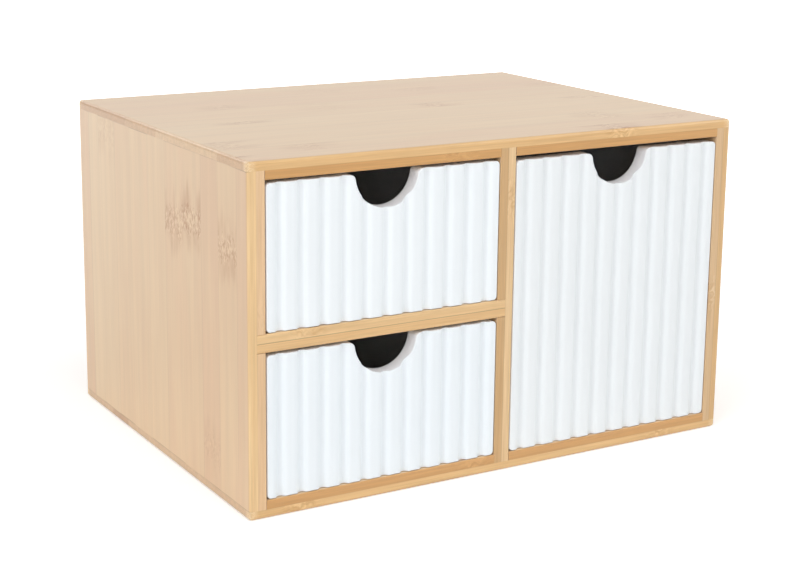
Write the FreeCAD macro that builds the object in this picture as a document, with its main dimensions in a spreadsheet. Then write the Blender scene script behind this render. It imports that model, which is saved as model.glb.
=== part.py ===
import FreeCAD, Part
import math
import os
import Sketcher

# Desktop mini drawers: a bamboo case with two short drawers on the left and one tall
# drawer on the right. All sizes are in millimetres. The origin is at the centre of the
# underside, +X to the right, +Y to the back and +Z up. Every board is drawn from its own
# left front bottom corner and then put in its place.

DRIVING_SIZES = (
    # the case
    ("board", 10, "thickness of the case's boards"),
    ("opening_wide", 142, "clear width of each drawer opening"),
    ("opening_high", 80, "clear height of a short drawer's opening"),
    ("case_deep", 240, "depth of the case"),
    ("lap", 5, "depth of the laps and housings that join the boards"),
    ("back_thick", 4, "thickness of the case's back"),
    ("outer_round", 2, "rounding of the case's outer edges"),
    ("inner_round", 0.6, "rounding of the edges round the openings"),
    # the drawers' fronts
    ("front_thick", 9, "thickness of a drawer's front"),
    ("front_inset", 0.1, "how far a closed front lies behind the case's front"),
    ("side_gap", 0.6, "gap on each side of a drawer"),
    ("floor_gap", 0.3, "gap under a drawer's front"),
    ("short_head_gap", 1.8, "gap over a short drawer's front"),
    ("tall_head_gap", 2.8, "gap over the tall drawer's front"),
    ("front_round", 2.2, "rounding of a front's corners"),
    ("face_round", 0.6, "rounding of the edge round a front's face"),
    ("notch_reach", 19, "radius of the finger notch"),
    ("notch_round", 3, "rounding at the notch's two upper corners"),
    # the flutes
    ("flute_count", 11, "valleys across a front"),
    ("flute_deep", 2.2, "depth of a valley"),
    ("flute_margin", 7.65, "from a front's end to the middle of its first valley"),
    ("flank_wide", 4.7, "from the face's level to the middle of a valley"),
    ("valley_round", 2.5, "rounding of a valley's floor"),
    # the drawers' boxes
    ("side_thick", 6, "thickness of a drawer's sides and back"),
    ("box_head_gap", 6, "gap over a drawer's sides and back"),
    ("back_gap", 0.5, "gap between a closed drawer and the case's back"),
    ("front_housing", 4, "how far a drawer's sides are let into its front"),
    ("floor_thick", 3, "thickness of a drawer's floor"),
    ("floor_groove", 3, "depth of the grooves that hold the floor"),
    ("floor_rise", 4, "height of the floor's groove over the sides' lower edges"),
    # the pins
    ("pin_reach", 0.7, "radius of a pin"),
    ("pin_long", 14, "length of a pin"),
    ("pin_margin", 12, "from a drawer side's ends to its outermost pins"),
    ("pin_spacing", 60, "about how far apart a drawer side's pins stand"),
)

# Where the pins of the case's back stand, as shares of the panel's width or height.
ROW_PIN_SHARES = (0.12, 0.38, 0.62, 0.88)
COLUMN_PIN_SHARES = (0.25, 0.75)

SAME_PLACE = 1e-4

doc = FreeCAD.newDocument("mini_drawers")
sheet = doc.addObject("Spreadsheet::Sheet", "sizes")
for row, (alias, size, note) in enumerate(DRIVING_SIZES, start=1):
    sheet.set(f"A{row}", note)
    sheet.set(f"B{row}", str(size))
    sheet.setAlias(f"B{row}", alias)
doc.recompute()

parts = []

# Sizes that follow from the driving ones, as text for expressions. A lip is what a lap
# leaves of a board's thickness.
BOARD = "sizes.board"
LAP = "sizes.lap"
CASE_DEEP = "sizes.case_deep"
PIN = "sizes.pin_reach"
LIP = f"({BOARD} - {LAP})"

LEFT_OPENING_X = BOARD
DIVIDER_X = f"({LEFT_OPENING_X} + sizes.opening_wide)"
RIGHT_OPENING_X = f"({DIVIDER_X} + {BOARD})"
RIGHT_PANEL_X = f"({RIGHT_OPENING_X} + sizes.opening_wide)"
CASE_WIDE = f"({RIGHT_PANEL_X} + {BOARD})"

SHELF_Z = f"({BOARD} + sizes.opening_high)"
UPPER_OPENING_Z = f"({SHELF_Z} + {BOARD})"
TOP_Z = f"({UPPER_OPENING_Z} + sizes.opening_high)"
CASE_HIGH = f"({TOP_Z} + {BOARD})"
TALL_OPENING_HIGH = f"({TOP_Z} - {BOARD})"

LEFT_X = f"(-{CASE_WIDE} / 2)"
FRONT_Y = f"(-{CASE_DEEP} / 2)"
INNER_DEEP = f"({CASE_DEEP} - sizes.back_thick)"
PANEL_HIGH = f"({CASE_HIGH} - 2 * {LIP})"

FRONT_WIDE = "(sizes.opening_wide - 2 * sizes.side_gap)"
DRAWER_DEEP = f"({INNER_DEEP} - sizes.front_inset - sizes.back_gap)"
SIDE_Y = "(sizes.front_thick - sizes.front_housing)"
SIDE_LONG = f"({DRAWER_DEEP} - {SIDE_Y})"
BACK_WIDE = f"({FRONT_WIDE} - 2 * sizes.side_thick)"
FLOOR_Y = "(sizes.front_thick - sizes.floor_groove)"
FLOOR_WIDE = f"({BACK_WIDE} + 2 * sizes.floor_groove)"
FLOOR_LONG = f"({DRAWER_DEEP} - sizes.side_thick + sizes.floor_groove - {FLOOR_Y})"
FLUTE_PITCH = f"(({FRONT_WIDE} - 2 * sizes.flute_margin) / (sizes.flute_count - 1))"


def value(text):
    """the number that an expression gives now"""
    return float(sheet.evalExpression(text))


def new_body(label, place):
    """an empty body whose own corner stands at place, three expressions"""
    body = doc.addObject("PartDesign::Body", label)
    body.Label = label
    for axis, text in zip("xyz", place):
        body.setExpression(f".Placement.Base.{axis}", text)
    parts.append(body)
    return body


def new_sketch(body, plane, start="0"):
    """a sketch on one of the body's own planes, moved along that plane's axis to start"""
    sketch = body.newObject("Sketcher::SketchObject", f"{body.Label}_sketch")
    role = f"{plane}_Plane"
    origin_plane = next(item for item in body.Origin.OriginFeatures if item.Role == role)
    sketch.AttachmentSupport = [(origin_plane, "")]
    sketch.MapMode = "FlatFace"
    if start != "0":
        along = f"-{start}" if plane == "XZ" else start
        sketch.setExpression(".AttachmentOffset.Base.z", along)
    return sketch


def hold_along(sketch, kind, geometry, point, text, axis):
    """keeps one coordinate of a point: on the axis at zero, else at an expression"""
    if text == "0":
        sketch.addConstraint(Sketcher.Constraint("PointOnObject", geometry, point, axis))
        return
    held = sketch.addConstraint(Sketcher.Constraint(kind, -1, 1, geometry, point, value(text)))
    sketch.setExpression(f"Constraints[{held}]", text)


def hold(sketch, geometry, point, across, up):
    """keeps a point of the sketch at two expressions"""
    if across == up == "0":
        sketch.addConstraint(Sketcher.Constraint("Coincident", geometry, point, -1, 1))
        return
    hold_along(sketch, "DistanceX", geometry, point, across, -2)
    hold_along(sketch, "DistanceY", geometry, point, up, -1)


def outline(sketch, corners):
    """a closed outline of straight lines through corners, pairs of expressions"""
    places = [FreeCAD.Vector(value(across), value(up), 0) for across, up in corners]
    lines = []
    for here, there in zip(places, places[1:] + places[:1]):
        lines.append(sketch.addGeometry(Part.LineSegment(here, there)))
    for line, following in zip(lines, lines[1:] + lines[:1]):
        sketch.addConstraint(Sketcher.Constraint("Coincident", line, 2, following, 1))
    for line, (across, up) in zip(lines, corners):
        hold(sketch, line, 1, across, up)
    return sketch


def rectangle(sketch, left, bottom, right, top):
    """a rectangle between two corners"""
    return outline(sketch, [(left, bottom), (right, bottom), (right, top), (left, top)])


def circle(sketch, across, up, reach):
    """a circle of radius reach about a point"""
    centre = FreeCAD.Vector(value(across), value(up), 0)
    shape = Part.Circle(centre, FreeCAD.Vector(0, 0, 1), value(reach))
    ring = sketch.addGeometry(shape)
    hold(sketch, ring, 3, across, up)
    held = sketch.addConstraint(Sketcher.Constraint("Radius", ring, value(reach)))
    sketch.setExpression(f"Constraints[{held}]", reach)
    return sketch


def pad(body, sketch, plane, length):
    """grows the sketch along +X, +Y or +Z, whichever its plane faces"""
    feature = body.newObject("PartDesign::Pad", f"{body.Label}_pad")
    feature.Profile = sketch
    feature.Reversed = plane == "XZ"
    feature.setExpression("Length", length)
    doc.recompute()
    return feature


def pocket(body, sketch, plane, length):
    """cuts the sketch out along +X, +Y or +Z and makes sure that it cuts"""
    before = body.Shape.Volume
    feature = body.newObject("PartDesign::Pocket", f"{body.Label}_pocket")
    feature.Profile = sketch
    feature.Reversed = plane != "XZ"
    feature.setExpression("Length", length)
    doc.recompute()
    if body.Shape.Volume >= before:
        raise RuntimeError(f"{body.Label}: a cut removes nothing")
    return feature


def edges_at(body, **fixed):
    """names of the edges that lie at the given x, y or z"""
    names = []
    for number, edge in enumerate(body.Tip.Shape.Edges, start=1):
        box = edge.BoundBox
        spans = {"x": (box.XMin, box.XMax), "y": (box.YMin, box.YMax), "z": (box.ZMin, box.ZMax)}
        wanted = {axis: value(text) for axis, text in fixed.items()}
        if all(abs(end - wanted[axis]) < SAME_PLACE for axis in wanted for end in spans[axis]):
            names.append(f"Edge{number}")
    return names


def round_edges(body, names, radius):
    """rounds the named edges of the body's last feature"""
    if not names:
        raise RuntimeError(f"{body.Label}: no edge to round")
    base = body.Tip
    feature = body.newObject("PartDesign::Fillet", f"{body.Label}_fillet")
    feature.Base = (base, names)
    feature.setExpression("Radius", radius)
    body.Tip = feature
    doc.recompute()
    return feature


def row_of(body, feature, sketch, axis, length, count):
    """repeats a feature count times over length along the sketch's own axis"""
    pattern = body.newObject("PartDesign::LinearPattern", f"{body.Label}_pattern")
    pattern.Originals = [feature]
    pattern.Direction = (sketch, [axis])
    pattern.setExpression("Length", length)
    pattern.setExpression("Occurrences", count)
    body.Tip = pattern
    doc.recompute()
    return pattern


# Places of the pins that hold the case's back, in the case's own corner frame.

def share_of(size, share):
    return f"({size} * {share})"


HALF_LAP = f"({LAP} / 2)"
LOW_ROW_Z = f"({LIP} + {HALF_LAP})"
HIGH_ROW_Z = f"({CASE_HIGH} - {LOW_ROW_Z})"
LEFT_COLUMN_X = LOW_ROW_Z
RIGHT_COLUMN_X = f"({CASE_WIDE} - {LEFT_COLUMN_X})"
MIDDLE_COLUMN_X = f"({CASE_WIDE} / 2)"
ROW_PIN_XS = [share_of(CASE_WIDE, share) for share in ROW_PIN_SHARES]
COLUMN_PIN_ZS = [share_of(CASE_HIGH, share) for share in COLUMN_PIN_SHARES]
PIN_START_Y = f"({CASE_DEEP} - sizes.pin_long)"


def pin_holes(body, places):
    """blind holes for the back's pins in a board, at places measured from its own corner"""
    sketch = new_sketch(body, "XZ", PIN_START_Y)
    for across, up in places:
        circle(sketch, across, up, PIN)
    pocket(body, sketch, "XZ", "sizes.pin_long")


def back_rebate(body, left, bottom, right, top):
    """the step at a board's rear edge that the case's back sits in"""
    sketch = rectangle(new_sketch(body, "XZ", INNER_DEEP), left, bottom, right, top)
    pocket(body, sketch, "XZ", "sizes.back_thick")


def lapped_board(label, height, outer, inner):
    """top or bottom board: laps over the sides at its ends and houses the divider"""
    step = LAP if inner == "0" else LIP
    body = new_body(label, (LEFT_X, FRONT_Y, height))
    corners = [
        ("0", outer), (CASE_WIDE, outer), (CASE_WIDE, step), (RIGHT_PANEL_X, step),
        (RIGHT_PANEL_X, inner), (RIGHT_OPENING_X, inner), (RIGHT_OPENING_X, step),
        (DIVIDER_X, step), (DIVIDER_X, inner), (BOARD, inner), (BOARD, step), ("0", step)]
    sketch = outline(new_sketch(body, "XZ"), corners)
    pad(body, sketch, "XZ", CASE_DEEP)
    low, high = (inner, step) if inner == "0" else (step, inner)
    back_rebate(body, LIP, low, f"({CASE_WIDE} - {LIP})", high)
    pin_height = HALF_LAP if inner == "0" else f"({BOARD} - {HALF_LAP})"
    pin_holes(body, [(across, pin_height) for across in ROW_PIN_XS])
    outer_edges = edges_at(body, z=outer)
    for x in ("0", CASE_WIDE):
        for y in ("0", CASE_DEEP):
            outer_edges += edges_at(body, x=x, y=y)
    round_edges(body, outer_edges, "sizes.outer_round")
    round_edges(body, edges_at(body, y="0", z=inner), "sizes.inner_round")
    return body


def side_panel(label, across, outer, inner, houses_shelf):
    """left or right board of the case, between the laps of the top and the bottom"""
    step = LIP if outer == "0" else LAP
    body = new_body(label, (across, FRONT_Y, LIP))
    shelf_low = f"({SHELF_Z} - {LIP})"
    shelf_high = f"({UPPER_OPENING_Z} - {LIP})"
    corners = [(outer, "0"), (inner, "0")]
    if houses_shelf:
        corners += [(inner, shelf_low), (step, shelf_low), (step, shelf_high), (inner, shelf_high)]
    corners += [(inner, PANEL_HIGH), (outer, PANEL_HIGH)]
    pad(body, outline(new_sketch(body, "XZ"), corners), "XZ", CASE_DEEP)
    left, right = sorted((step, inner), key=value)
    back_rebate(body, left, "0", right, PANEL_HIGH)
    pin_across = f"({LIP} + {HALF_LAP})" if outer == "0" else HALF_LAP
    pin_holes(body, [(pin_across, f"({up} - {LIP})") for up in COLUMN_PIN_ZS])
    outer_edges = edges_at(body, x=outer, y="0") + edges_at(body, x=outer, y=CASE_DEEP)
    round_edges(body, outer_edges, "sizes.outer_round")
    round_edges(body, edges_at(body, x=inner, y="0"), "sizes.inner_round")
    return body


def centre_divider():
    """upright board between the left drawers and the right one, housing the shelf's end"""
    body = new_body("centre_divider", (f"({LEFT_X} + {DIVIDER_X})", FRONT_Y, LIP))
    shelf_low = f"({SHELF_Z} - {LIP})"
    shelf_high = f"({UPPER_OPENING_Z} - {LIP})"
    corners = [
        ("0", "0"), (BOARD, "0"), (BOARD, PANEL_HIGH), ("0", PANEL_HIGH),
        ("0", shelf_high), (LAP, shelf_high), (LAP, shelf_low), ("0", shelf_low)]
    pad(body, outline(new_sketch(body, "XZ"), corners), "XZ", INNER_DEEP)
    middle = f"({MIDDLE_COLUMN_X} - {DIVIDER_X})"
    pin_holes(body, [(middle, f"({up} - {LIP})") for up in COLUMN_PIN_ZS])
    front_edges = edges_at(body, x="0", y="0") + edges_at(body, x=BOARD, y="0")
    round_edges(body, front_edges, "sizes.inner_round")
    return body


def shelf():
    """level board between the two short drawers, let into the left side and the divider"""
    body = new_body("shelf", (f"({LEFT_X} + {LIP})", FRONT_Y, SHELF_Z))
    shelf_wide = f"({DIVIDER_X} + {LAP} - {LIP})"
    sketch = rectangle(new_sketch(body, "XZ"), "0", "0", shelf_wide, BOARD)
    pad(body, sketch, "XZ", INNER_DEEP)
    round_edges(body, edges_at(body, y="0", z="0") + edges_at(body, y="0", z=BOARD),
                "sizes.inner_round")
    return body


def back_places():
    """every pin of the case's back, measured from the case's left bottom corner"""
    places = [(across, up) for up in (LOW_ROW_Z, HIGH_ROW_Z) for across in ROW_PIN_XS]
    columns = (LEFT_COLUMN_X, MIDDLE_COLUMN_X, RIGHT_COLUMN_X)
    return places + [(across, up) for across in columns for up in COLUMN_PIN_ZS]


def back_panel():
    """thin back, seated in the rebates of the four outer boards"""
    place = (f"({LEFT_X} + {LIP})", f"({FRONT_Y} + {INNER_DEEP})", LIP)
    body = new_body("back_panel", place)
    back_wide = f"({CASE_WIDE} - 2 * {LIP})"
    sketch = rectangle(new_sketch(body, "XZ"), "0", "0", back_wide, PANEL_HIGH)
    pad(body, sketch, "XZ", "sizes.back_thick")
    holes = new_sketch(body, "XZ")
    for across, up in back_places():
        circle(holes, f"({across} - {LIP})", f"({up} - {LIP})", PIN)
    pocket(body, holes, "XZ", "sizes.back_thick")
    return body


def pin(label, place, turn):
    """one steel pin whose foot is at place, turned to lie along X or Y"""
    cylinder = doc.addObject("Part::Cylinder", label)
    cylinder.setExpression("Radius", PIN)
    cylinder.setExpression("Height", "sizes.pin_long")
    cylinder.Placement = FreeCAD.Placement(FreeCAD.Vector(), turn)
    for axis, text in zip("xyz", place):
        cylinder.setExpression(f".Placement.Base.{axis}", text)
    return cylinder


def pin_group(label, pins):
    """the pins of one job as one sub-part of separate solids"""
    group = doc.addObject("Part::Compound", label)
    group.Label = label
    group.Links = pins
    parts.append(group)
    return group


def back_panel_pins():
    """pins through the case's back into the boards in front of it"""
    to_the_back = FreeCAD.Rotation(FreeCAD.Vector(0, 0, 1), FreeCAD.Vector(0, 1, 0))
    pins = []
    for number, (across, up) in enumerate(back_places(), start=1):
        place = (f"({LEFT_X} + {across})", f"({FRONT_Y} + {PIN_START_Y})", up)
        pins.append(pin(f"back_pin_{number}", place, to_the_back))
    return pin_group("back_panel_pins", pins)


def arc(sketch, centre, reach, *turns):
    """an arc of a circle between two angles"""
    ring = Part.Circle(FreeCAD.Vector(*centre, 0), FreeCAD.Vector(0, 0, 1), reach)
    return sketch.addGeometry(Part.ArcOfCircle(ring, *turns))


def cut_flutes(body, front_high):
    """a row of valleys down the face, each a round floor between two round crests"""
    crests = ("(sizes.flute_margin - sizes.flank_wide)", "(sizes.flute_margin + sizes.flank_wide)")
    left, right = (value(crest) for crest in crests)
    middle, deep = value("sizes.flute_margin"), value("sizes.flute_deep")
    flank, floor_reach = value("sizes.flank_wide"), value("sizes.valley_round")
    # A crest's arc touches the floor's arc, so their centres lie both radii apart.
    centres_apart = (flank ** 2 + deep ** 2) / (2 * deep)
    crest_reach = centres_apart - floor_reach
    lean = math.atan2(centres_apart - deep, flank)
    quarter = math.pi / 2
    sketch = new_sketch(body, "XY")
    lid = sketch.addGeometry(Part.LineSegment(FreeCAD.Vector(left, 0, 0), FreeCAD.Vector(right, 0, 0)))
    floor = arc(sketch, (middle, deep - floor_reach), floor_reach, lean, math.pi - lean)
    left_crest = arc(sketch, (left, crest_reach), crest_reach, -quarter, -lean)
    right_crest = arc(sketch, (right, crest_reach), crest_reach, math.pi + lean, 3 * quarter)
    for crest, lid_end, floor_end, text in (
            (left_crest, 1, 2, crests[0]), (right_crest, 2, 1, crests[1])):
        sketch.addConstraint(Sketcher.Constraint("Coincident", crest, lid_end, lid, lid_end))
        sketch.addConstraint(Sketcher.Constraint("Tangent", crest, floor_end, floor, floor_end))
        hold(sketch, lid, lid_end, text, "0")
        hold_along(sketch, "DistanceX", crest, 3, text, -2)
    hold(sketch, floor, 3, "sizes.flute_margin", "(sizes.flute_deep - sizes.valley_round)")
    held = sketch.addConstraint(Sketcher.Constraint("Radius", floor, floor_reach))
    sketch.setExpression(f"Constraints[{held}]", "sizes.valley_round")
    valley = pocket(body, sketch, "XY", front_high)
    length = f"({FLUTE_PITCH} * (sizes.flute_count - 1))"
    row_of(body, valley, sketch, "H_Axis", length, "sizes.flute_count")


def drawer_front(drawer, corner, front_high, box_high):
    """fluted face with a half-round finger notch, let in at the back for the box"""
    x, y, z = corner
    body = new_body(f"{drawer}_front", (x, y, f"({z} + sizes.floor_gap)"))
    face = rectangle(new_sketch(body, "XZ"), "0", "0", FRONT_WIDE, front_high)
    pad(body, face, "XZ", "sizes.front_thick")
    notch = circle(new_sketch(body, "XZ"), f"({FRONT_WIDE} / 2)", front_high, "sizes.notch_reach")
    pocket(body, notch, "XZ", "sizes.front_thick")
    corners = []
    for end in ("0", FRONT_WIDE):
        for height in ("0", front_high):
            corners += edges_at(body, x=end, z=height)
    round_edges(body, corners, "sizes.front_round")
    mouth = []
    for end in (f"({FRONT_WIDE} / 2 - sizes.notch_reach)", f"({FRONT_WIDE} / 2 + sizes.notch_reach)"):
        mouth += edges_at(body, x=end, z=front_high)
    round_edges(body, mouth, "sizes.notch_round")
    round_edges(body, edges_at(body, x="0", y="0"), "sizes.face_round")
    cut_flutes(body, front_high)
    housing_high = f"({box_high} - sizes.floor_gap)"
    housings = new_sketch(body, "XZ", SIDE_Y)
    rectangle(housings, "0", "0", "sizes.side_thick", housing_high)
    rectangle(housings, f"({FRONT_WIDE} - sizes.side_thick)", "0", FRONT_WIDE, housing_high)
    pocket(body, housings, "XZ", "sizes.front_housing")
    groove_low = "(sizes.floor_rise - sizes.floor_gap)"
    groove = rectangle(
        new_sketch(body, "XZ", FLOOR_Y), "sizes.side_thick", groove_low,
        f"({FRONT_WIDE} - sizes.side_thick)", f"({groove_low} + sizes.floor_thick)")
    pocket(body, groove, "XZ", "sizes.floor_groove")
    return body


def pins_up(box_high):
    """how many pins stand over each other in a side of that height: two or more"""
    return f"(1 + max(1; round(({box_high} - 2 * sizes.pin_margin) / sizes.pin_spacing)))"


def pin_rows(body, across, start, length, box_high):
    """a column of pin holes along X, from start for length"""
    sketch = circle(new_sketch(body, "YZ", start), across, "sizes.pin_margin", PIN)
    hole = pocket(body, sketch, "YZ", length)
    column_high = f"({box_high} - 2 * sizes.pin_margin)"
    row_of(body, hole, sketch, "V_Axis", column_high, pins_up(box_high))


def drawer_side(drawer, hand, corner, box_high):
    """one side of a drawer, grooved for the floor, which also carries the drawer"""
    x, y, z = corner
    is_left = hand == "left"
    across = x if is_left else f"({x} + {FRONT_WIDE} - sizes.side_thick)"
    body = new_body(f"{drawer}_{hand}_side", (across, f"({y} + {SIDE_Y})", z))
    pad(body, rectangle(new_sketch(body, "XY"), "0", "0", "sizes.side_thick", SIDE_LONG),
        "XY", box_high)
    left = "(sizes.side_thick - sizes.floor_groove)" if is_left else "0"
    right = "sizes.side_thick" if is_left else "sizes.floor_groove"
    groove = rectangle(new_sketch(body, "XZ"), left, "sizes.floor_rise", right,
                       "(sizes.floor_rise + sizes.floor_thick)")
    pocket(body, groove, "XZ", SIDE_LONG)
    round_edges(body, edges_at(body, x="0", z=box_high) +
                edges_at(body, x="sizes.side_thick", z=box_high), "sizes.inner_round")
    pin_rows(body, f"({SIDE_LONG} - sizes.side_thick / 2)", "0", "sizes.side_thick", box_high)
    return body


def drawer_back(drawer, corner, box_high):
    """back of a drawer, between its sides"""
    x, y, z = corner
    place = (f"({x} + sizes.side_thick)", f"({y} + {DRAWER_DEEP} - sizes.side_thick)", z)
    body = new_body(f"{drawer}_back", place)
    pad(body, rectangle(new_sketch(body, "XY"), "0", "0", BACK_WIDE, "sizes.side_thick"),
        "XY", box_high)
    groove = rectangle(new_sketch(body, "XZ"), "0", "sizes.floor_rise", BACK_WIDE,
                       "(sizes.floor_rise + sizes.floor_thick)")
    pocket(body, groove, "XZ", "sizes.floor_groove")
    round_edges(body, edges_at(body, y="0", z=box_high) +
                edges_at(body, y="sizes.side_thick", z=box_high), "sizes.inner_round")
    hole_long = "(sizes.pin_long - sizes.side_thick)"
    for start in ("0", f"({BACK_WIDE} - {hole_long})"):
        pin_rows(body, "(sizes.side_thick / 2)", start, hole_long, box_high)
    return body


def drawer_floor(drawer, corner):
    """thin floor of a drawer, held in grooves on all four sides"""
    x, y, z = corner
    place = (f"({x} + sizes.side_thick - sizes.floor_groove)", f"({y} + {FLOOR_Y})",
             f"({z} + sizes.floor_rise)")
    body = new_body(f"{drawer}_floor", place)
    sheet_outline = rectangle(new_sketch(body, "XY"), "0", "0", FLOOR_WIDE, FLOOR_LONG)
    pad(body, sheet_outline, "XY", "sizes.floor_thick")
    return body


def drawer_pins(drawer, corner, box_high):
    """pins through the sides into the ends of the back"""
    x, y, z = corner
    to_the_right = FreeCAD.Rotation(FreeCAD.Vector(0, 0, 1), FreeCAD.Vector(1, 0, 0))
    deep = f"({y} + {DRAWER_DEEP} - sizes.side_thick / 2)"
    pin_count = int(value(pins_up(box_high)))
    step = f"(({box_high} - 2 * sizes.pin_margin) / ({pins_up(box_high)} - 1))"
    pins = []
    for across in (x, f"({x} + {FRONT_WIDE} - sizes.pin_long)"):
        for number in range(pin_count):
            up = f"({z} + sizes.pin_margin + {step} * {number})"
            label = f"{drawer}_pin_{len(pins) + 1}"
            pins.append(pin(label, (across, deep, up), to_the_right))
    return pin_group(f"{drawer}_pins", pins)


def whole_drawer(drawer, opening_x, opening_z, opening_high, head_gap):
    """front, sides, back, floor and pins of one drawer, shut in its opening"""
    corner = (f"({LEFT_X} + {opening_x} + sizes.side_gap)", f"({FRONT_Y} + sizes.front_inset)",
              opening_z)
    front_high = f"({opening_high} - sizes.floor_gap - {head_gap})"
    box_high = f"({opening_high} - sizes.box_head_gap)"
    drawer_front(drawer, corner, front_high, box_high)
    for hand in ("left", "right"):
        drawer_side(drawer, hand, corner, box_high)
    drawer_back(drawer, corner, box_high)
    drawer_floor(drawer, corner)
    drawer_pins(drawer, corner, box_high)


# The case.

lapped_board("top_panel", TOP_Z, BOARD, "0")
lapped_board("bottom_panel", "0", "0", BOARD)
side_panel("left_side_panel", LEFT_X, "0", BOARD, True)
side_panel("right_side_panel", f"({LEFT_X} + {RIGHT_PANEL_X})", BOARD, "0", False)
centre_divider()
shelf()
back_panel()
back_panel_pins()

# The drawers.

SHORT_OPENING = ("sizes.opening_high", "sizes.short_head_gap")
TALL_OPENING = (TALL_OPENING_HIGH, "sizes.tall_head_gap")
whole_drawer("upper_left_drawer", LEFT_OPENING_X, UPPER_OPENING_Z, *SHORT_OPENING)
whole_drawer("lower_left_drawer", LEFT_OPENING_X, BOARD, *SHORT_OPENING)
whole_drawer("right_drawer", RIGHT_OPENING_X, BOARD, *TALL_OPENING)

doc.recompute()
for item in doc.Objects:
    if "Invalid" in item.State or "Error" in item.State:
        raise RuntimeError(f"{item.Label}: {item.State}")
for part in parts:
    if part.Shape.isNull() or not part.Shape.isValid():
        raise RuntimeError(f"{part.Label}: its shape is not a valid solid")

os.makedirs("parts", exist_ok=True)
for part in parts:
    part.Shape.exportStep(f"parts/{part.Label}.step")
    box = part.Shape.BoundBox
    print(part.Label, len(part.Shape.Solids), round(part.Shape.Volume, 1),
          [round(size, 2) for size in (box.XMin, box.XMax, box.YMin, box.YMax, box.ZMin, box.ZMax)])
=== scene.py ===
import math

import bpy
import numpy as np
from mathutils import Matrix, Vector

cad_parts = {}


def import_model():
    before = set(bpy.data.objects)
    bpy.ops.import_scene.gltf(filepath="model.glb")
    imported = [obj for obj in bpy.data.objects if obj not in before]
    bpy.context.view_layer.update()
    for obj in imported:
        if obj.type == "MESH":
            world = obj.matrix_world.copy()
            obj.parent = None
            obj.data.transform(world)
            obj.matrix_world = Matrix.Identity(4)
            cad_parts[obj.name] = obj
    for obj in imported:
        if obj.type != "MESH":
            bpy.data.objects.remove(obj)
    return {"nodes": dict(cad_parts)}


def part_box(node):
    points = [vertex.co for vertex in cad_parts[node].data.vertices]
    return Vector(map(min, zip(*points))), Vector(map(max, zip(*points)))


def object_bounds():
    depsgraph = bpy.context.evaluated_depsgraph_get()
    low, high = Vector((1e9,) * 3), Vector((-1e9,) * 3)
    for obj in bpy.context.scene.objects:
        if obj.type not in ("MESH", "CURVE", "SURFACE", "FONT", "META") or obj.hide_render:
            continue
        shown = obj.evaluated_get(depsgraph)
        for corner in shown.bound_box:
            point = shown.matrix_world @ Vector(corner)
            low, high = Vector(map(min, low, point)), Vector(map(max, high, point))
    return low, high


# Desktop mini drawers: a laminated bamboo case with three white fluted drawers.
# Everything is in metres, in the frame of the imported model: X to the right, Y to the
# back and Z up, with the origin at the centre of the underside. Materials work in
# millimetres of that frame.

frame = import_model()
CAD_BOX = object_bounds()
CASE_CENTRE = (CAD_BOX[0] + CAD_BOX[1]) / 2
MM = 0.001           # m


def linear(code):
    """the linear colour that an sRGB hex code stands for"""
    shares = [int(code[start:start + 2], 16) / 255 for start in (1, 3, 5)]
    return (*[s / 12.92 if s <= 0.04045 else ((s + 0.055) / 1.055) ** 2.4 for s in shares], 1)


def add(tree, kind, feeds=None, stops=None, blend="LINEAR", **settings):
    """one node with its settings, which gives its outputs; feeds maps inputs, by name or
    number, to sockets or plain values, and stops fills a colour ramp, which blend joins.
    A colour Mix takes its colours at 6 and 7 and gives its result at 2."""
    made = tree.nodes.new("ShaderNode" + kind)
    for name, setting in settings.items():
        setattr(made, name, setting)
    if stops:
        ramp = made.color_ramp
        ramp.interpolation = blend
        while len(ramp.elements) < len(stops):
            ramp.elements.new(0.5)
        for element, (place, colour) in zip(ramp.elements, stops):
            element.position = place
            element.color = colour
    for name, value in (feeds or {}).items():
        if isinstance(value, bpy.types.NodeSocket):
            tree.links.new(value, made.inputs[name])
        else:
            made.inputs[name].default_value = value
    return made.outputs


def new_material(name, **finish):
    """a material with one surface shader; finish sets the shader's own sockets"""
    material = bpy.data.materials.new(name)
    material.use_nodes = True
    tree = material.node_tree
    tree.nodes.clear()
    shader = tree.nodes.new("ShaderNodeBsdfPrincipled")
    output = tree.nodes.new("ShaderNodeOutputMaterial")
    tree.links.new(shader.outputs["BSDF"], output.inputs["Surface"])
    for socket, value in finish.items():
        shader.inputs[socket.replace("_", " ")].default_value = value
    return material, tree, shader


def dress(node, material):
    """gives a CAD node its finish"""
    mesh = frame["nodes"][node].data
    mesh.materials.clear()
    mesh.materials.append(material)


# Bamboo boards
#
# Each board is two plies of flat-pressed strips, glued face to face. A strip is the split
# wall of a bamboo stalk: its faces show long pale fibres and a brown knuckle where the stalk
# had a node, its edges show tighter orange grain, and its ends show the cut fibre bundles.
# All sizes in this part are in mm.

INTERNODE = 239.5            # along a stalk from one knuckle to the next
SEAM = 0.4                   # the dark line between two strips
PLY_GLUE = 0.22              # half of the line between two plies
KNUCKLE_DASHES = (9.5, 4.5)  # from a knuckle's middle to where its dashes begin and are full
KNUCKLE_STAIN = 9.0          # from its middle to where the brown stain is deepest
STAIN_REACH = 14.0           # from there to where the stain ends
RAGGED = 11.0                # how far fibres run past the knuckle's outline
SWIRL = (15.0, 3.0)          # from a knuckle to where an edge's grain begins to swirl and is full
SWIRL_BEND = 11.0            # how far the grain bends there
SANDED_CORNER = (6.0, 1.5)   # from a corner's point to where it begins to pale and is palest
JOINT_LINE = (0.5, 0.3)      # from a board's end to the line of the joint there
FIBRE_RISE = 0.015           # how far the fibres stand proud

SIDE_STRIPS = 10             # strips, about 23 mm wide, in a board as deep as the case
BACK_STRIPS = 8              # strips in the back panel

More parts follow.
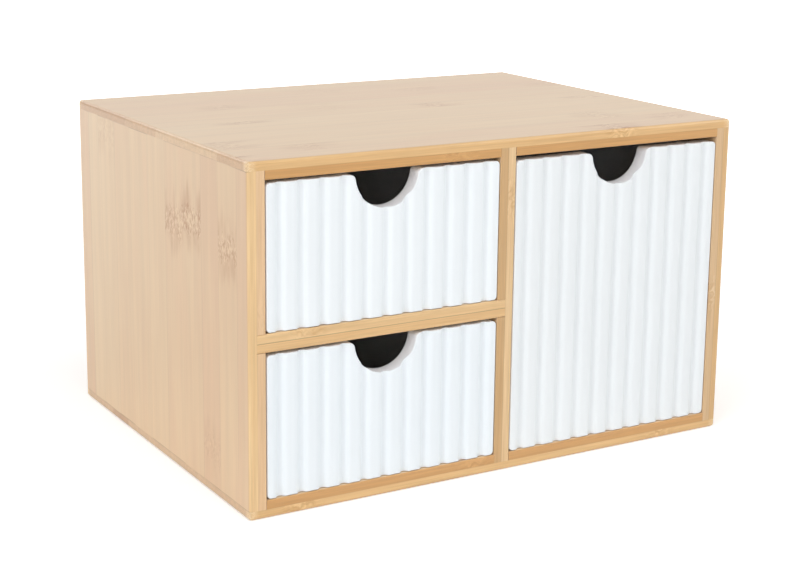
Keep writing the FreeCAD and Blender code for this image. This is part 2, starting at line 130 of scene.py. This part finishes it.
# A strip's row: width, tone of its face from 0, straw, to 1, rosy, tone of its cut end from
# 0, pale, to 1, dark, how far its first knuckle is from its low end, and how strongly that
# knuckle shows. The strips run from the board's low side to its high side.
LEFT_OUTER = ((13.0, 0.90, 0.5, 30, 0.0), (21.9, 0.60, 0.5, 135, 0.85),
              (22.2, 0.95, 0.5, 20, 0.30), (24.9, 0.60, 0.5, 143, 1.0),
              (23.4, 0.60, 0.5, 136, 0.9), (24.2, 0.35, 0.5, 60, 0.0),
              (27.9, 0.50, 0.5, 100, 0.0), (22.7, 0.60, 0.5, 20, 0.0),
              (26.9, 0.15, 0.5, 172, 0.3), (15.8, 0.0, 0.5, 90, 0.0),
              (17.1, 0.8, 0.5, 40, 0.0))
TOP_UPPER = ((16.0, 0.7, 0.8, 233.8, 0.9), (18.7, 0.6, 0.85, 49, 0.5),
             (24.7, 0.2, 0.4, 12, 0.5), (24.6, 0.3, 0.45, 180, 0.0),
             (24.1, 0.2, 0.45, 100, 0.0), (8.7, 0.1, 0.4, 51, 0.6),
             (15.2, 0.4, 0.8, 185, 0.7), (30.8, 0.5, 0.8, 120, 0.2),
             (16.2, 0.8, 1.0, 64.5, 0.4), (16.5, 0.9, 1.0, 210, 0.3),
             (22.5, 0.7, 0.95, 150, 0.2), (22.0, 0.5, 0.95, 80, 0.0))
BOTTOM_LOWER = ((20.5, 0.5, 0.5, 30.2, 0.9), (24.0, 0.4, 0.55, 90, 0.3),
                (23.0, 0.6, 0.45, 200, 0.6), (24.5, 0.2, 0.5, 140, 0.8),
                (22.0, 0.7, 0.4, 60, 0.5), (24.0, 0.3, 0.5, 170, 0.9),
                (30.0, 0.5, 0.5, 110, 0.4), (26.0, 0.8, 1.0, 20, 0.7),
                (23.0, 0.4, 0.55, 220, 0.8), (23.0, 0.6, 0.5, 130, 0.5))


def drawn_strips(seed, count, first_knuckle=None):
    """strips for a ply that no view of the front shows, drawn with a fixed seed; their
    widths are shares of the usual one"""
    draw = np.random.default_rng(seed)
    widths = draw.uniform(0.85, 1.15, count)
    knuckles = draw.permutation(count) / count * INTERNODE + draw.uniform(0, 8, count)
    strengths = draw.choice((0.0, 0.3, 0.5, 0.8), count)
    if first_knuckle is not None:
        knuckles[0] = first_knuckle
        strengths[0] = 0.9
    return tuple(zip(widths, draw.uniform(0, 1, count), draw.uniform(0.2, 0.9, count),
                     knuckles, strengths))


def strip_stops(strips):
    """ramp stops that hold each strip's numbers: red is its tone, green its first knuckle's
    place as a share of the internode, blue the knuckle's strength and alpha its end's tone"""
    span = sum(strip[0] for strip in strips)
    place = 0.0
    stops = []
    for width, tone, end_tone, knuckle, strength in strips:
        share = knuckle % INTERNODE / INTERNODE
        stops.append((place / span, (tone, share, strength, end_tone)))
        place += width
    return stops


def streaks(tree, grain, length, width, shift, detail=2.0):
    """noise drawn out along the grain, with streaks of a length and width in mm; shift
    takes it to a part of the noise that no other pattern uses"""
    stretched = add(tree, "VectorMath", {0: grain, 1: (1 / length, 1 / width, 1 / width),
                                         2: (shift, shift, shift)}, operation="MULTIPLY_ADD")[0]
    return add(tree, "TexNoise", {"Vector": stretched, "Scale": 1.0, "Detail": detail})[0]


class Board:
    """the nodes that find where a point of a board lies, in mm, and what its bamboo looks
    like there: axes names the axes of the grain, of the strips' width and of the plies"""

    def __init__(self, tree, node, axes, low_ply, high_ply):
        self.tree = tree
        self.along, self.across, self.deep = axes
        self.low, self.high = (dict(zip("XYZ", corner / MM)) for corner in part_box(node))
        self.middle = {axis: (self.low[axis] + self.high[axis]) / 2 for axis in axes}
        coordinates = add(tree, "TexCoord")
        spot = add(tree, "VectorMath", {0: coordinates["Object"], "Scale": 1 / MM},
                   operation="SCALE")[0]
        self.spot = add(tree, "SeparateXYZ", {0: spot})
        self.turned = add(tree, "SeparateXYZ", {0: coordinates["Normal"]})
        self.in_high = add(tree, "Math", {0: self.spot[self.deep], 1: self.middle[self.deep]},
                           operation="GREATER_THAN")[0]
        self.strip, self.end_tone = self.strip_row(low_ply, high_ply, 0.0)
        self.seam = self.seam_by(self.strip_row(low_ply, high_ply, SEAM)[0])
        self.grain = self.own_grain()
        self.knuckle_from = self.nearest_knuckle()

    def strip_row(self, low_ply, high_ply, step):
        """the numbers of the strip that lies a step aside from a point, and its end's tone"""
        tree = self.tree
        share = add(tree, "MapRange", {"Value": self.spot[self.across],
                                       "From Min": self.low[self.across] - step,
                                       "From Max": self.high[self.across] - step})[0]
        row_low = add(tree, "ValToRGB", {0: share}, strip_stops(low_ply), "CONSTANT")
        row_high = add(tree, "ValToRGB", {0: share}, strip_stops(high_ply), "CONSTANT")
        row = add(tree, "Mix", {0: self.in_high, 6: row_low["Color"], 7: row_high["Color"]},
                  data_type="RGBA")[2]
        end_tone = add(tree, "Mix", {0: self.in_high, 2: row_low["Alpha"],
                                     3: row_high["Alpha"]})[0]
        return add(tree, "SeparateColor", {0: row}), end_tone

    def seam_by(self, aside):
        """how dark a seam is: 0 where the strip aside is the same one, and more between two
        strips whose tones differ more"""
        tree = self.tree
        same = add(tree, "Math", {0: self.strip["Green"], 1: aside["Green"], 2: 0.001},
                   operation="COMPARE")[0]
        seam = add(tree, "Math", {0: 1.0, 1: same}, operation="SUBTRACT")[0]
        contrast = add(tree, "Math", {0: self.strip["Red"], 1: aside["Red"]},
                       operation="SUBTRACT")[0]
        contrast = add(tree, "Math", {0: contrast}, operation="ABSOLUTE")[0]
        contrast = add(tree, "Math", {0: contrast, 1: 0.3, 2: 0.03}, operation="MULTIPLY_ADD")[0]
        return add(tree, "Math", {0: seam, 1: contrast}, operation="MULTIPLY")[0]

    def own_grain(self):
        """the grain's own space, in which X runs along the stalk and each strip has fibres
        of its own"""
        tree = self.tree
        place = add(tree, "Math", {0: self.strip["Green"], 1: 3 * INTERNODE,
                                   2: self.spot[self.along]}, operation="MULTIPLY_ADD")[0]
        return add(tree, "CombineXYZ", {0: place, 1: self.spot[self.across],
                                        2: self.spot[self.deep]})[0]

    def nearest_knuckle(self):
        """how far along the strip its nearest knuckle is, from minus to plus half an
        internode"""
        tree = self.tree
        place = add(tree, "Math", {0: self.spot[self.along], 1: self.low[self.along]},
                    operation="SUBTRACT")[0]
        place = add(tree, "Math", {0: self.strip["Green"], 1: -INTERNODE, 2: place},
                    operation="MULTIPLY_ADD")[0]
        return add(tree, "Math", {0: place, 1: INTERNODE / 2, 2: -INTERNODE / 2},
                   operation="WRAP")[0]

    def knuckle(self):
        """how brown a knuckle makes a point: a band of short zigzag dashes, some paler than
        the wood, between two soft stains whose fibres end raggedly"""
        tree = self.tree
        ragged = streaks(tree, self.grain, length=40, width=2.2, shift=3.0)
        ragged = add(tree, "Math", {0: ragged, 1: 2 * RAGGED, 2: -RAGGED},
                     operation="MULTIPLY_ADD")[0]
        off = add(tree, "Math", {0: self.knuckle_from, 1: ragged}, operation="ADD")[0]
        off = add(tree, "Math", {0: off}, operation="ABSOLUTE")[0]

        band = add(tree, "MapRange", {"Value": off, "From Min": KNUCKLE_DASHES[0],
                                      "From Max": KNUCKLE_DASHES[1]},
                   interpolation_type="SMOOTHSTEP")[0]
        zigzag = streaks(tree, self.grain, length=1.8, width=4.0, shift=5.0)
        zigzag = add(tree, "Math", {0: zigzag, 1: 3.0}, operation="MULTIPLY")[0]
        zigzag = add(tree, "CombineXYZ", {1: zigzag})[0]
        zigzag = add(tree, "VectorMath", {0: self.grain, 1: zigzag}, operation="ADD")[0]
        dashes = streaks(tree, zigzag, length=2.8, width=0.85, shift=7.0)
        dashes = add(tree, "MapRange", {"Value": dashes, "From Min": 0.38, "From Max": 0.62,
                                        "To Min": -0.4, "To Max": 0.8})[0]
        dashes = add(tree, "Math", {0: dashes, 1: band}, operation="MULTIPLY")[0]

        stain = add(tree, "Math", {0: off, 1: KNUCKLE_STAIN}, operation="SUBTRACT")[0]
        stain = add(tree, "Math", {0: stain}, operation="ABSOLUTE")[0]
        stain = add(tree, "MapRange", {"Value": stain, "From Min": STAIN_REACH, "From Max": 0.0},
                    interpolation_type="SMOOTHERSTEP")[0]
        clouds = streaks(tree, self.grain, length=26, width=6.0, shift=11.0)
        clouds = add(tree, "MapRange", {"Value": clouds, "From Min": 0.35, "From Max": 0.7,
                                        "To Max": 0.6})[0]
        stain = add(tree, "Math", {0: stain, 1: clouds}, operation="MULTIPLY")[0]

        both = add(tree, "Math", {0: dashes, 1: stain}, operation="ADD")[0]
        return add(tree, "Math", {0: both, 1: self.strip["Blue"]}, operation="MULTIPLY")[0]

    def face(self, fine, broad, fade):
        """the colour of a face: straw to rosy by the strip, with fine and broad fibres, dark
        seams and knuckles; fade is the share by which it darkens along the board"""
        tree = self.tree
        patches = streaks(tree, self.grain, length=70, width=14, shift=17.0)
        tone = add(tree, "Math", {0: patches, 1: 1.2, 2: -0.6}, operation="MULTIPLY_ADD")[0]
        tone = add(tree, "Math", {0: tone, 1: self.strip["Red"]}, operation="ADD")[0]
        colour = add(tree, "ValToRGB", {0: tone}, ((0.0, linear("#DBBE98")),
                                                   (0.5, linear("#D9BA94")),
                                                   (1.0, linear("#D7B490"))))[0]
        shade = add(tree, "Math", {0: fine, 1: 0.03, 2: 0.958}, operation="MULTIPLY_ADD")[0]
        shade = add(tree, "Math", {0: broad, 1: 0.055, 2: shade}, operation="MULTIPLY_ADD")[0]
        shade = add(tree, "Math", {0: self.seam, 1: -0.9, 2: shade}, operation="MULTIPLY_ADD")[0]
        faded = add(tree, "MapRange", {"Value": self.spot[self.along],
                                       "From Min": self.low[self.along],
                                       "From Max": self.high[self.along],
                                       "To Min": -fade / 2, "To Max": fade / 2})[0]
        shade = add(tree, "Math", {0: shade, 1: faded}, operation="SUBTRACT")[0]
        colour = add(tree, "VectorMath", {0: colour, "Scale": shade}, operation="SCALE")[0]
        return add(tree, "Mix", {0: self.knuckle(), 6: colour, 7: linear("#B58760")},
                   data_type="RGBA", clamp_factor=False)[2]

    def edge(self, plies, glue):
        """the colour of a long edge: tight orange grain that swirls round a knuckle, in each
        ply's own tone, with a glue line between them"""
        tree = self.tree
        near = add(tree, "Math", {0: self.knuckle_from}, operation="ABSOLUTE")[0]
        near = add(tree, "MapRange", {"Value": near, "From Min": SWIRL[0], "From Max": SWIRL[1]},
                   interpolation_type="SMOOTHSTEP")[0]
        near = add(tree, "Math", {0: near, 1: self.strip["Blue"]}, operation="MULTIPLY")[0]
        swirl = add(tree, "TexNoise", {"Vector": self.grain, "Scale": 0.16, "Detail": 1.0})
        swirl = add(tree, "VectorMath", {0: swirl["Color"], 1: (0.5, 0.5, 0.5)},
                    operation="SUBTRACT")[0]
        bend = add(tree, "Math", {0: near, 1: SWIRL_BEND}, operation="MULTIPLY")[0]
        swirl = add(tree, "VectorMath", {0: swirl, "Scale": bend}, operation="SCALE")[0]
        bent = add(tree, "VectorMath", {0: self.grain, 1: swirl}, operation="ADD")[0]

        colour = add(tree, "Mix", {0: self.in_high, 6: linear(plies[0]), 7: linear(plies[1])},
                     data_type="RGBA")[2]
        loose = streaks(tree, bent, length=55, width=2.2, shift=37.0)
        lean = add(tree, "Math", {0: loose, 1: 0.5}, operation="SUBTRACT")[0]
        contrast = add(tree, "Math", {0: near, 1: 2.0, 2: 0.7}, operation="MULTIPLY_ADD")[0]
        lean = add(tree, "Math", {0: lean, 1: contrast}, operation="MULTIPLY")[0]
        colour = add(tree, "Mix", {0: lean, 6: colour, 7: linear("#B98448")},
                     data_type="RGBA", clamp_factor=False)[2]

        tight = streaks(tree, bent, length=28, width=0.7, shift=31.0, detail=3.0)
        shade = add(tree, "Math", {0: tight, 1: 0.34, 2: 0.83}, operation="MULTIPLY_ADD")[0]
        glue_line = add(tree, "Math", {0: self.spot[self.deep], 1: self.middle[self.deep],
                                       2: PLY_GLUE}, operation="COMPARE")[0]
        shade = add(tree, "Math", {0: glue_line, 1: -0.35 * glue, 2: shade},
                    operation="MULTIPLY_ADD")[0]
        return add(tree, "VectorMath", {0: colour, "Scale": shade}, operation="SCALE")[0]

    def end(self):
        """the colour of a cut end: pale to brown by the strip, mottled by the saw and dotted
        with fibre bundles about 0.9 mm apart, coarser than real ones, so that they show"""
        tree = self.tree
        colour = add(tree, "ValToRGB", {0: self.end_tone}, ((0.0, linear("#D5B893")),
                                                            (0.5, linear("#CFAD86")),
                                                            (1.0, linear("#BF9974"))))[0]
        bundles = add(tree, "TexVoronoi", {"Vector": self.grain, "Scale": 1.1})["Distance"]
        bundles = add(tree, "MapRange", {"Value": bundles, "From Min": 0.25, "From Max": 0.45,
                                         "To Min": 0.9, "To Max": 1.03})[0]
        colour = add(tree, "VectorMath", {0: colour, "Scale": bundles}, operation="SCALE")[0]
        mottle = add(tree, "TexNoise", {"Vector": self.grain, "Scale": 0.3, "Detail": 2.0})[0]
        mottle = add(tree, "Math", {0: mottle, 1: 0.3, 2: 0.85}, operation="MULTIPLY_ADD")[0]
        return add(tree, "VectorMath", {0: colour, "Scale": mottle}, operation="SCALE")[0]

    def inset(self, axis):
        """how far in a point is from the nearer of the board's two sides on an axis"""
        tree = self.tree
        off = add(tree, "Math", {0: self.spot[axis], 1: self.middle[axis]},
                  operation="SUBTRACT")[0]
        off = add(tree, "Math", {0: off}, operation="ABSOLUTE")[0]
        return add(tree, "Math", {0: self.high[axis] - self.middle[axis], 1: off},
                   operation="SUBTRACT")[0]

    def pale_corners(self, colour, strength):
        """paler curls where the board's four corners were sanded round, through the grain"""
        tree = self.tree
        corner = add(tree, "CombineXYZ", {0: self.inset(self.along), 1: self.inset(self.across)})
        corner = add(tree, "VectorMath", {0: corner[0]}, operation="LENGTH")["Value"]
        corner = add(tree, "MapRange", {"Value": corner, "From Min": SANDED_CORNER[0],
                                        "From Max": SANDED_CORNER[1]},
                     interpolation_type="SMOOTHSTEP")[0]
        curls = add(tree, "TexNoise", {"Vector": self.grain, "Scale": 0.5, "Detail": 2.0,
                                       "Distortion": 2.5})[0]
        curls = add(tree, "MapRange", {"Value": curls, "From Min": 0.4, "From Max": 0.6,
                                       "To Min": 0.3, "To Max": 0.95})[0]
        corner = add(tree, "Math", {0: corner, 1: curls}, operation="MULTIPLY")[0]
        corner = add(tree, "Math", {0: corner, 1: strength}, operation="MULTIPLY")[0]
        return add(tree, "Mix", {0: corner, 6: colour, 7: linear("#EFD2A6")},
                   data_type="RGBA")[2]

    def joint_lines(self, colour):
        """a thin brown line on the faces where an end meets the next board, darker where
        the joint stands a little open"""
        tree = self.tree
        line = add(tree, "MapRange", {"Value": self.inset(self.along), "From Min": JOINT_LINE[0],
                                      "From Max": JOINT_LINE[1]})[0]
        gap = add(tree, "TexNoise", {"Vector": self.grain, "Scale": 0.02, "Detail": 1.0})[0]
        gap = add(tree, "MapRange", {"Value": gap, "From Min": 0.4, "From Max": 0.6,
                                     "To Min": 0.05, "To Max": 0.45})[0]
        line = add(tree, "Math", {0: line, 1: gap}, operation="MULTIPLY")[0]
        in_face = add(tree, "Math", {0: self.turned[self.deep]}, operation="ABSOLUTE")[0]
        line = add(tree, "Math", {0: line, 1: in_face}, operation="MULTIPLY")[0]
        return add(tree, "Mix", {0: line, 6: colour, 7: linear("#6E4A30")}, data_type="RGBA")[2]


def bamboo(name, node, axes, low_ply, high_ply, edges, glue=0.4, fade=0.0, corners=0.0):
    """pressed bamboo under a thin clear oil: pale straw faces with faint fibres and soft
    brown knuckles, warm orange edges in two plies, and darker cut ends; edges gives the
    colour of each ply's edge, glue how dark the line between them is, fade how much the
    faces darken along the board, and corners how pale its sanded corners are"""
    material, tree, shader = new_material(name, IOR=1.5)
    board = Board(tree, node, axes, low_ply, high_ply)
    fine = streaks(tree, board.grain, length=60, width=1.0, shift=23.0, detail=3.0)
    fine = add(tree, "MapRange", {"Value": fine, "From Min": 0.36, "From Max": 0.64})[0]
    broad = streaks(tree, board.grain, length=110, width=5.0, shift=29.0)
    broad = add(tree, "MapRange", {"Value": broad, "From Min": 0.34, "From Max": 0.66})[0]

    # faces, edges and ends by the way the surface is turned
    colour = board.face(fine, broad, fade)
    for axis, layer in ((board.across, board.edge(edges, glue)), (board.along, board.end())):
        facing = add(tree, "Math", {0: board.turned[axis], 1: board.turned[axis]},
                     operation="MULTIPLY")[0]
        facing = add(tree, "MapRange", {"Value": facing, "From Min": 0.05, "From Max": 0.4},
                     interpolation_type="SMOOTHSTEP")[0]
        colour = add(tree, "Mix", {0: facing, 6: colour, 7: layer}, data_type="RGBA")[2]
    colour = board.joint_lines(board.pale_corners(colour, corners))
    tree.links.new(colour, shader.inputs["Base Color"])

    # the fibres stand a little proud of the softer wood between them, and the seams are low
    height = add(tree, "Math", {0: board.seam, 1: -4.0, 2: fine}, operation="MULTIPLY_ADD")[0]
    bump = add(tree, "Bump", {"Strength": 0.05, "Distance": FIBRE_RISE * MM, "Height": height})[0]
    tree.links.new(bump, shader.inputs["Normal"])
    gloss = add(tree, "Math", {0: broad, 1: 0.01, 2: 0.295}, operation="MULTIPLY_ADD")[0]
    tree.links.new(gloss, shader.inputs["Roughness"])
    return material


def dress_case():
    """each board's bamboo, by the way its grain runs"""
    dress("left_side_panel", bamboo(
        "bamboo_left", "left_side_panel", "ZYX",
        LEFT_OUTER, drawn_strips(3, SIDE_STRIPS),
        edges=("#E7C390", "#E5C095"), glue=0.15, fade=0.1))
    dress("right_side_panel", bamboo(
        "bamboo_right", "right_side_panel", "ZYX",
        drawn_strips(4, SIDE_STRIPS), drawn_strips(5, SIDE_STRIPS),
        edges=("#D7B489", "#D8B07C")))
    dress("centre_divider", bamboo(
        "bamboo_divider", "centre_divider", "ZYX",
        drawn_strips(6, SIDE_STRIPS), drawn_strips(7, SIDE_STRIPS),
        edges=("#CDA675", "#E3C090")))
    dress("top_panel", bamboo(
        "bamboo_top", "top_panel", "XYZ",
        drawn_strips(8, SIDE_STRIPS, first_knuckle=125.1), TOP_UPPER,
        edges=("#CE9B5E", "#DFB57D"), glue=0.2, corners=1.0))
    dress("bottom_panel", bamboo(
        "bamboo_bottom", "bottom_panel", "XYZ",
        BOTTOM_LOWER, drawn_strips(9, SIDE_STRIPS, first_knuckle=139),
        edges=("#E0B881", "#CF9D63"), glue=0.2, corners=1.0))
    dress("shelf", bamboo(
        "bamboo_shelf", "shelf", "XYZ",
        drawn_strips(10, SIDE_STRIPS), drawn_strips(11, SIDE_STRIPS),
        edges=("#E3BA84", "#E4BE8A"), glue=1.0))
    dress("back_panel", bamboo(
        "bamboo_back", "back_panel", "XZY",
        drawn_strips(12, BACK_STRIPS), drawn_strips(13, BACK_STRIPS),
        edges=("#E0B987", "#E0B987"), glue=0.0))


dress_case()


# Painted drawers

def paint(name, code):
    """satin white lacquer, sprayed on the fluted front: even, faintly cool, with the soft orange
    peel that a spray gun leaves; the cut edges get a paler, cooler white, which is painted light
    that brightens the notch walls"""
    material, tree, shader = new_material(name, Roughness=0.42, IOR=1.5)
    coordinates = add(tree, "TexCoord")
    turned = add(tree, "SeparateXYZ", {0: coordinates["Normal"]})["Y"]
    turned = add(tree, "Math", {0: turned, 1: turned}, operation="MULTIPLY")[0]
    # painted light: faces not turned to the front, the cut edges and notch walls among them, get
    # a paler, cooler white so that they look more brightly lit
    flat = add(tree, "MapRange", {"Value": turned, "From Min": 0.05, "From Max": 0.3})[0]
    colour = add(tree, "Mix", {0: flat, 6: linear("#F8FAFF"), 7: linear(code)},
                 data_type="RGBA")[2]
    drift = add(tree, "TexNoise", {"Vector": coordinates["Object"], "Scale": 1 / (60 * MM),
                                   "Detail": 1.0})[0]
    drift = add(tree, "Math", {0: drift, 1: 0.03, 2: 0.985}, operation="MULTIPLY_ADD")[0]
    colour = add(tree, "VectorMath", {0: colour, "Scale": drift}, operation="SCALE")[0]
    tree.links.new(colour, shader.inputs["Base Color"])
    peel = add(tree, "TexNoise", {"Vector": coordinates["Object"], "Scale": 1 / (1.8 * MM),
                                  "Detail": 1.0})[0]
    bump = add(tree, "Bump", {"Strength": 0.1, "Distance": 0.05 * MM, "Height": peel})[0]
    tree.links.new(bump, shader.inputs["Normal"])
    return material


def white_board():
    """white foil on thin board, for the drawers' sides and backs: matt, with a fine grain
    pressed into it, 14 mm long and 0.5 mm wide"""
    material, tree, shader = new_material("white_board", Roughness=0.55, IOR=1.5)
    coordinates = add(tree, "TexCoord")["Object"]
    pore_scale = (1 / (0.5 * MM), 1 / (14 * MM), 1 / (0.5 * MM))
    long_pores = add(tree, "VectorMath", {0: coordinates, 1: pore_scale},
                     operation="MULTIPLY")[0]
    pores = add(tree, "TexNoise", {"Vector": long_pores, "Scale": 1.0, "Detail": 2.0})[0]
    pores = add(tree, "MapRange", {"Value": pores, "From Min": 0.35, "From Max": 0.65,
                                   "To Min": 0.97, "To Max": 1.0})[0]
    colour = add(tree, "VectorMath", {0: linear("#F0F2F6")[:3], "Scale": pores},
                 operation="SCALE")[0]
    tree.links.new(colour, shader.inputs["Base Color"])
    bump = add(tree, "Bump", {"Strength": 0.15, "Distance": 0.05 * MM, "Height": pores})[0]
    tree.links.new(bump, shader.inputs["Normal"])
    return material


def floor_sheet():
    """thin hardboard for the drawers' floors: white lacquer with a fine stipple on top, and
    bare brown fibres below"""
    material, tree, shader = new_material("drawer_floor", Roughness=0.6, IOR=1.5)
    coordinates = add(tree, "TexCoord")
    stipple = add(tree, "TexNoise", {"Vector": coordinates["Object"], "Scale": 1 / (0.9 * MM),
                                     "Detail": 2.0})[0]
    fibres = add(tree, "TexNoise", {"Vector": coordinates["Object"], "Scale": 1 / (2.5 * MM),
                                    "Detail": 6.0, "Distortion": 1.5})[0]
    bare = add(tree, "ValToRGB", {0: fibres}, ((0.3, linear("#8A6647")),
                                               (0.7, linear("#B08A64"))))[0]
    coat = add(tree, "ValToRGB", {0: stipple}, ((0.3, linear("#ECEEF1")),
                                                (0.7, linear("#F3F5F8"))))[0]
    turned = add(tree, "SeparateXYZ", {0: coordinates["Normal"]})
    upward = add(tree, "MapRange", {"Value": turned["Z"], "From Min": 0.4, "From Max": 0.6})[0]
    colour = add(tree, "Mix", {0: upward, 6: bare, 7: coat}, data_type="RGBA")[2]
    tree.links.new(colour, shader.inputs["Base Color"])
    bump = add(tree, "Bump", {"Strength": 0.2, "Distance": 0.06 * MM, "Height": stipple})[0]
    tree.links.new(bump, shader.inputs["Normal"])
    return material


def steel_pin():
    """zinc-plated steel wire, cut for pins: a grey metal with a slightly cloudy plating"""
    material, tree, shader = new_material("steel_pin", Roughness=0.35, Metallic=1.0)
    coordinates = add(tree, "TexCoord")["Object"]
    clouds = add(tree, "TexNoise", {"Vector": coordinates, "Scale": 1 / (0.8 * MM),
                                    "Detail": 3.0})[0]
    colour = add(tree, "ValToRGB", {0: clouds}, ((0.3, linear("#A9ACAE")),
                                                 (0.7, linear("#C6C8C9"))))[0]
    tree.links.new(colour, shader.inputs["Base Color"])
    gloss = add(tree, "MapRange", {"Value": clouds, "To Min": 0.25, "To Max": 0.45})[0]
    tree.links.new(gloss, shader.inputs["Roughness"])
    return material


# each front's white, which differs a little from one spraying to the next
PAINTS = {"upper_left_drawer": "#F2F7FA", "lower_left_drawer": "#F0F6FA",
          "right_drawer": "#EFF3F5"}


def dress_drawers():
    """paint on the fronts, foil on the boxes, hardboard floors and steel pins"""
    board, sheet, steel = white_board(), floor_sheet(), steel_pin()
    dress("back_panel_pins", steel)
    for drawer, code in PAINTS.items():
        dress(drawer + "_front", paint(drawer + "_paint", code))
        for side in ("_left_side", "_right_side", "_back"):
            dress(drawer + side, board)
        dress(drawer + "_floor", sheet)
        dress(drawer + "_pins", steel)


dress_drawers()


# Floor, light and camera

def seen_rays(tree):
    """1 for the rays by which the camera, a gloss or a glass sees the studio"""
    path = add(tree, "LightPath")
    seen = add(tree, "Math", {0: path["Is Camera Ray"], 1: path["Is Glossy Ray"]},
               operation="MAXIMUM")[0]
    return add(tree, "Math", {0: seen, 1: path["Is Transmission Ray"]}, operation="MAXIMUM")[0]


def floor():
    """a wide pale floor that keeps the object's shadow and is seen as white further off,
    where its glow to the camera and to reflections rises to 1"""
    reach = 3.5          # m, half of its side
    shadow_ends = 0.3    # m from the origin
    white_from = 1.6     # m from the origin
    mesh = bpy.data.meshes.new("studio_floor")
    mesh.from_pydata([(-reach, -reach, 0), (reach, -reach, 0), (reach, reach, 0),
                      (-reach, reach, 0)], [], [(0, 1, 2, 3)])
    piece = bpy.data.objects.new("studio_floor", mesh)
    bpy.context.scene.collection.objects.link(piece)
    material, tree, shader = new_material("pale_floor", Roughness=0.9, Specular_IOR_Level=0.0)
    shader.inputs["Base Color"].default_value = linear("#FAFAFA")
    shader.inputs["Emission Color"].default_value = (1, 1, 1, 1)
    away = add(tree, "TexCoord")["Object"]
    away = add(tree, "VectorMath", {0: away}, operation="LENGTH")["Value"]
    away = add(tree, "MapRange", {"Value": away, "From Min": shadow_ends,
                                  "From Max": white_from, "To Min": 0.3, "To Max": 1.0})[0]
    glow = add(tree, "Math", {0: seen_rays(tree), 1: away}, operation="MULTIPLY")[0]
    tree.links.new(glow, shader.inputs["Emission Strength"])
    mesh.materials.append(material)


def world(strength):
    """an even white surround, white to the camera and in reflections"""
    surround = bpy.data.worlds.new("studio")
    surround.use_nodes = True
    tree = surround.node_tree
    tree.nodes.clear()
    lit = add(tree, "Background", {"Color": (1, 1, 1, 1), "Strength": strength})[0]
    bare = add(tree, "Background", {"Color": (1, 1, 1, 1), "Strength": 1.0})[0]
    both = add(tree, "MixShader", {0: seen_rays(tree), 1: lit, 2: bare})[0]
    output = tree.nodes.new("ShaderNodeOutputWorld")
    tree.links.new(both, output.inputs["Surface"])
    bpy.context.scene.world = surround


def facing_from(azimuth, elevation):
    """the direction from the object to a viewer, by angles in degrees from its front"""
    a, e = math.radians(azimuth), math.radians(elevation)
    return Vector((math.sin(a) * math.cos(e), -math.cos(a) * math.cos(e), math.sin(e)))


def lamp(name, azimuth, elevation, watts, size=2.2):
    """a square soft box, its side in metres, turned to the case"""
    reach = 4.0      # m from the origin
    light = bpy.data.lights.new(name, "AREA")
    light.shape = "SQUARE"
    light.size = size
    light.energy = watts
    piece = bpy.data.objects.new(name, light)
    bpy.context.scene.collection.objects.link(piece)
    piece.location = reach * facing_from(azimuth, elevation)
    turn = (CASE_CENTRE - piece.location).to_track_quat("-Z", "Y")
    piece.rotation_euler = turn.to_euler()


def camera(azimuth, elevation, roll, offset, distance, lens, shift):
    """a camera turned by angles in degrees, with the case's centre at offset in its view"""
    r = math.radians(roll)
    back = facing_from(azimuth, elevation)
    level = Vector((0, 0, 1)).cross(back).normalized()
    steep = back.cross(level)
    right = math.cos(r) * level + math.sin(r) * steep
    up = math.cos(r) * steep - math.sin(r) * level
    data = bpy.data.cameras.new("photo_camera")
    data.sensor_width = 36
    data.lens = lens
    data.shift_y = shift
    data.clip_start, data.clip_end = 0.05, 50
    piece = bpy.data.objects.new("photo_camera", data)
    bpy.context.scene.collection.objects.link(piece)
    place = CASE_CENTRE + back * distance - right * offset[0] - up * offset[1]
    turn = Matrix((right, up, back)).transposed().to_4x4()
    piece.matrix_world = Matrix.Translation(place) @ turn
    bpy.context.scene.camera = piece


floor()
world(strength=0.31)
lamp("left_soft_box", azimuth=-65, elevation=25, watts=54)
lamp("high_soft_box", azimuth=-15, elevation=58, watts=22)
lamp("right_soft_box", azimuth=55, elevation=35, watts=43)
lamp("back_soft_box", azimuth=-158, elevation=35, watts=34)
lamp("top_soft_box", azimuth=0, elevation=80, watts=17)
lamp("fill_soft_box", azimuth=-30, elevation=12, watts=9, size=1.0)
camera(azimuth=-30.644, elevation=12.425, roll=0.661, offset=(-0.0026745, -0.0238805),
       distance=1.0395115, lens=76.26, shift=-0.08)
bpy.context.scene.view_settings.view_transform = "Standard"
